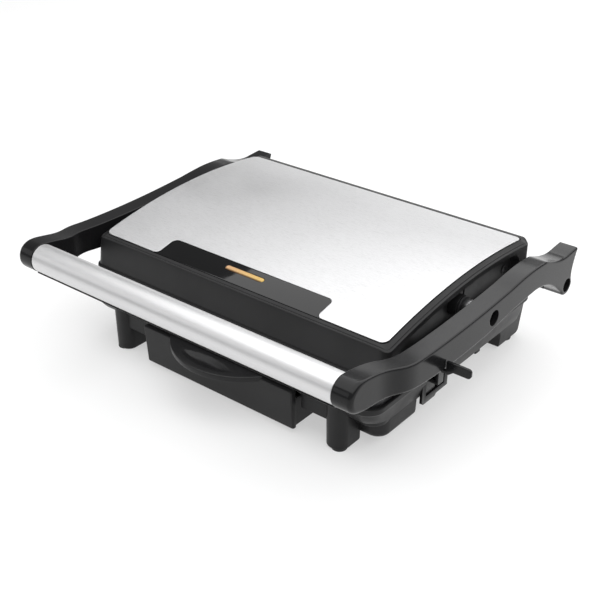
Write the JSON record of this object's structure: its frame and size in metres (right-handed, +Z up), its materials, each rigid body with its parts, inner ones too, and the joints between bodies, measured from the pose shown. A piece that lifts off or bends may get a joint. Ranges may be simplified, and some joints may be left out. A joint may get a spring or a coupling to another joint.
{
  "type": "panini press",
  "caption": "Contact grill with a floating lid hung between two side arms, a round steel handle, ribbed plates, a side lock and a pull-out drip tray.",
  "frame": {"origin": "on the worktop, under the middle of the grill: on the symmetry plane of the lid and handle, halfway between the front of the handle and the rear of the arms, level with the undersides of the foot pads", "axes": "+X to the right seen from the handle's side, +Y from the handle to the rear hinge, +Z up"},
  "size_m": [0.389, 0.3215, 0.1132],
  "materials": {
    "housing_plastic": "satin black moulded plastic",
    "arm_plastic": "semi-gloss black moulded plastic",
    "lock_plastic": "satin black moulded plastic",
    "tray_plastic": "semi-gloss black moulded plastic",
    "cover_steel": "brushed along its width",
    "tube_steel": "brushed along the tube",
    "pin_steel": "turned",
    "screw_steel": "zinc plated",
    "dark_screw": "blackened",
    "panel_gloss": "high gloss black",
    "lens_amber": "translucent amber, lit",
    "lamp_board": "plain board",
    "plate_coating": "die-cast, dark non-stick coating",
    "element_sheath": "heat-tinted tube",
    "reflector_sheet": "bright rolled sheet",
    "bottom_sheet": "coated sheet",
    "pad_rubber": "matt",
    "bush_plastic": "self-lubricating plastic",
    "wire_sleeve": "silicone sleeve",
    "ceramic": "unglazed"
  },
  "bodies": {
    "base": {"lower_housing": "housing_plastic", "bottom_cover": "bottom_sheet", "foot_pads": "pad_rubber", "base_screws": "screw_steel", "lower_reflector": "reflector_sheet", "lower_heating_element": "element_sheath", "lower_grill_plate": "plate_coating", "lower_plate_screws": "screw_steel", "terminal_block": "ceramic", "cord_gland": "lock_plastic", "base_wiring": "wire_sleeve", "thermal_fuse": "ceramic", "hinge_pins": "dark_screw", "lock_guide": "lock_plastic", "guide_screws": "screw_steel"},
    "tray": {"drip_tray": "tray_plastic"},
    "lock": {"lock_slide": "lock_plastic"},
    "arms": {"right_arm": "arm_plastic", "left_arm": "arm_plastic", "arm_covers": "arm_plastic", "handle_tube": "tube_steel", "handle_strip": "arm_plastic", "handle_rod": "pin_steel", "handle_plugs": "arm_plastic", "float_pins": "pin_steel", "arm_screws": "dark_screw", "lock_keeper": "pin_steel", "arm_wiring": "wire_sleeve"},
    "lid": {"upper_housing": "housing_plastic", "top_cover": "cover_steel", "control_panel": "panel_gloss", "indicator_lens": "lens_amber", "indicator_lamp": "lamp_board", "upper_grill_plate": "plate_coating", "upper_heating_element": "element_sheath", "upper_reflector": "reflector_sheet", "upper_plate_screws": "screw_steel", "thermostat": "ceramic", "lid_wiring": "wire_sleeve", "float_bushes": "bush_plastic", "lid_screws": "dark_screw"}
  },
  "joints": [
    {"name": "lid_hinge", "type": "hinge", "parent": "base", "child": "arms", "pos_m": [0, 0.1467, 0.0619], "axis": [-1, 0, 0], "range_deg": [0, 180]},
    {"name": "lid_float", "type": "hinge", "parent": "arms", "child": "lid", "pos_m": [0, 0.0171, 0.0873], "axis": [1, 0, 0], "range_deg": [-2.5, 2.5]},
    {"name": "tray_pull", "type": "slide", "parent": "base", "child": "tray", "axis": [0, -1, 0], "range_m": [0, 0.1]},
    {"name": "lock_travel", "type": "slide", "parent": "base", "child": "lock", "axis": [0, 1, 0], "range_m": [0, 0.009]}
  ]
}
